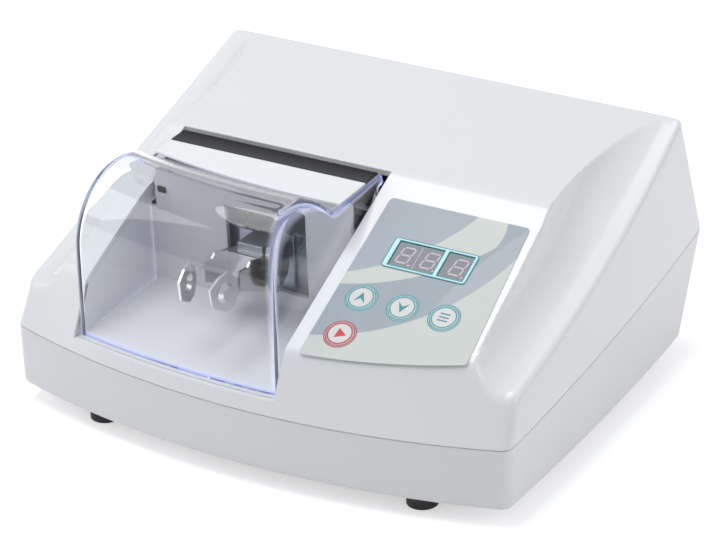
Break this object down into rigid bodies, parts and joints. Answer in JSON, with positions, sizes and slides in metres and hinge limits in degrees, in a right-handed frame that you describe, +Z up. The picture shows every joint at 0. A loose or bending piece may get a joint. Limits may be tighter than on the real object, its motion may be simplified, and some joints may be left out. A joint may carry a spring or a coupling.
{
  "type": "capsule mixer",
  "caption": "Tabletop capsule mixer: wedge-shaped housing, clear swinging lid over a spring fork, sloping keypad with a digit display.",
  "frame": {"origin": "middle of the bounding box's underside, on the table plane", "axes": "+X to the right seen from the front, -Y towards the user, +Z up"},
  "size_m": [0.251, 0.212, 0.118],
  "materials": {
    "shell_white": "fine satin moulded plastic",
    "base_white": "satin moulded plastic",
    "tub_white": "satin moulded plastic",
    "black_rubber": "dull",
    "zinc_steel": "bright zinc plate",
    "clear_plastic": "polished clear plastic",
    "strip_white": "smooth",
    "bar_dark": "smooth",
    "overlay_film": "printed polyester film",
    "frame_teal": "printed polyester film",
    "window_dark": "smoked window",
    "digit_grey": "segment module",
    "board_green": "solder mask",
    "black_plastic": "moulded",
    "key_pale": "printed key cap",
    "plate_steel": "rolled sheet",
    "can_steel": "drawn can",
    "ferrite": "dull",
    "core_steel": "lamination stack",
    "copper": "copper",
    "ground_steel": "ground steel",
    "arm_alloy": "cast and milled",
    "spring_steel": "polished spring sheet",
    "winding_tape": "taped winding",
    "brass_pin": "nickelled brass"
  },
  "bodies": {
    "housing": {"upper_shell": "shell_white", "lower_shell": "base_white", "chamber_tub": "tub_white", "feet": "black_rubber", "foot_screws": "zinc_steel", "housing_screws": "zinc_steel", "hinge_pins": "ground_steel", "interlock_sensor": "black_plastic", "overlay": "overlay_film", "display_frame": "frame_teal", "display_pane": "window_dark", "display_double": "digit_grey", "display_single": "digit_grey", "control_board": "board_green", "board_screws": "zinc_steel", "key_switches": "black_plastic", "rubber_mounts": "black_rubber", "transformer": "core_steel", "transformer_windings": "winding_tape", "power_board": "board_green", "board_parts": "black_plastic", "mains_inlet": "black_plastic", "inlet_pins": "brass_pin"},
    "lid": {"lid_cover": "clear_plastic", "lid_strip": "strip_white", "hinge_bar": "bar_dark", "lid_magnet": "ground_steel"},
    "cradle": {"base_plate": "plate_steel", "motor_plate": "plate_steel", "motor_screws": "zinc_steel", "outboard_plate": "plate_steel", "shield_plate": "plate_steel", "motor_can": "can_steel", "stator_magnets": "ferrite", "motor_rear_cap": "can_steel", "brush_blocks": "ferrite", "restraint_block": "black_rubber"},
    "rotor": {"rotor_shaft": "ground_steel", "rotor_core": "core_steel", "rotor_windings": "copper", "commutator": "copper", "cooling_fan": "black_plastic", "tilted_sleeve": "ground_steel", "bearing_inner": "ground_steel", "bearing_balls": "ground_steel", "bearing_outer": "ground_steel"},
    "arm": {"swing_arm": "arm_alloy", "arm_shield": "plate_steel", "hub_cap": "arm_alloy", "cap_screws": "zinc_steel", "spring_fork": "spring_steel", "fork_screw": "zinc_steel", "fork_knob": "black_plastic"},
    "up_key": {"key_up": "key_pale"},
    "down_key": {"key_down": "key_pale"},
    "mode_key": {"key_mode": "key_pale"},
    "start_key": {"key_start": "key_pale"},
    "fuse_carrier": {"fuse_drawer": "black_plastic"},
    "mains_rocker": {"power_rocker": "black_plastic"}
  },
  "joints": [
    {"name": "cradle_bounce", "type": "slide", "parent": "housing", "child": "cradle", "axis": [0, 0, 1], "range_m": [-0.0015, 0.0015], "stiffness_N_per_m": 40000, "springref_m": 0.0003, "deforming": ["rubber_mounts"]},
    {"name": "rotor_spin", "type": "hinge", "parent": "cradle", "child": "rotor", "pos_m": [-0.03, 0.028, 0.068], "axis": [1, 0, 0], "continuous": true},
    {"name": "arm_swing", "type": "hinge", "parent": "cradle", "child": "arm", "pos_m": [-0.03, 0.028, 0.068], "axis": [0, 0, 1], "range_deg": [-5, 5]},
    {"name": "lid_hinge", "type": "hinge", "parent": "housing", "child": "lid", "pos_m": [-0.034, -0.017, 0.0865], "axis": [-1, 0, 0], "range_deg": [0, 68]},
    {"name": "up_press", "type": "slide", "parent": "housing", "child": "up_key", "axis": [0, 0.4027, -0.9153], "range_m": [0, 0.0004], "stiffness_N_per_m": 4000},
    {"name": "down_press", "type": "slide", "parent": "housing", "child": "down_key", "axis": [0, 0.4027, -0.9153], "range_m": [0, 0.0004], "stiffness_N_per_m": 4000},
    {"name": "mode_press", "type": "slide", "parent": "housing", "child": "mode_key", "axis": [0, 0.4027, -0.9153], "range_m": [0, 0.0004], "stiffness_N_per_m": 4000},
    {"name": "start_press", "type": "slide", "parent": "housing", "child": "start_key", "axis": [0, 0.4027, -0.9153], "range_m": [0, 0.0004], "stiffness_N_per_m": 4000},
    {"name": "fuse_pull", "type": "slide", "parent": "housing", "child": "fuse_carrier", "axis": [0, 0.9825, 0.1865], "range_m": [0, 0.018]},
    {"name": "rocker_tip", "type": "hinge", "parent": "housing", "child": "mains_rocker", "pos_m": [-0.0549, 0.09699, 0.07925], "axis": [1, 0, 0], "range_deg": [0, 16]}
  ]
}
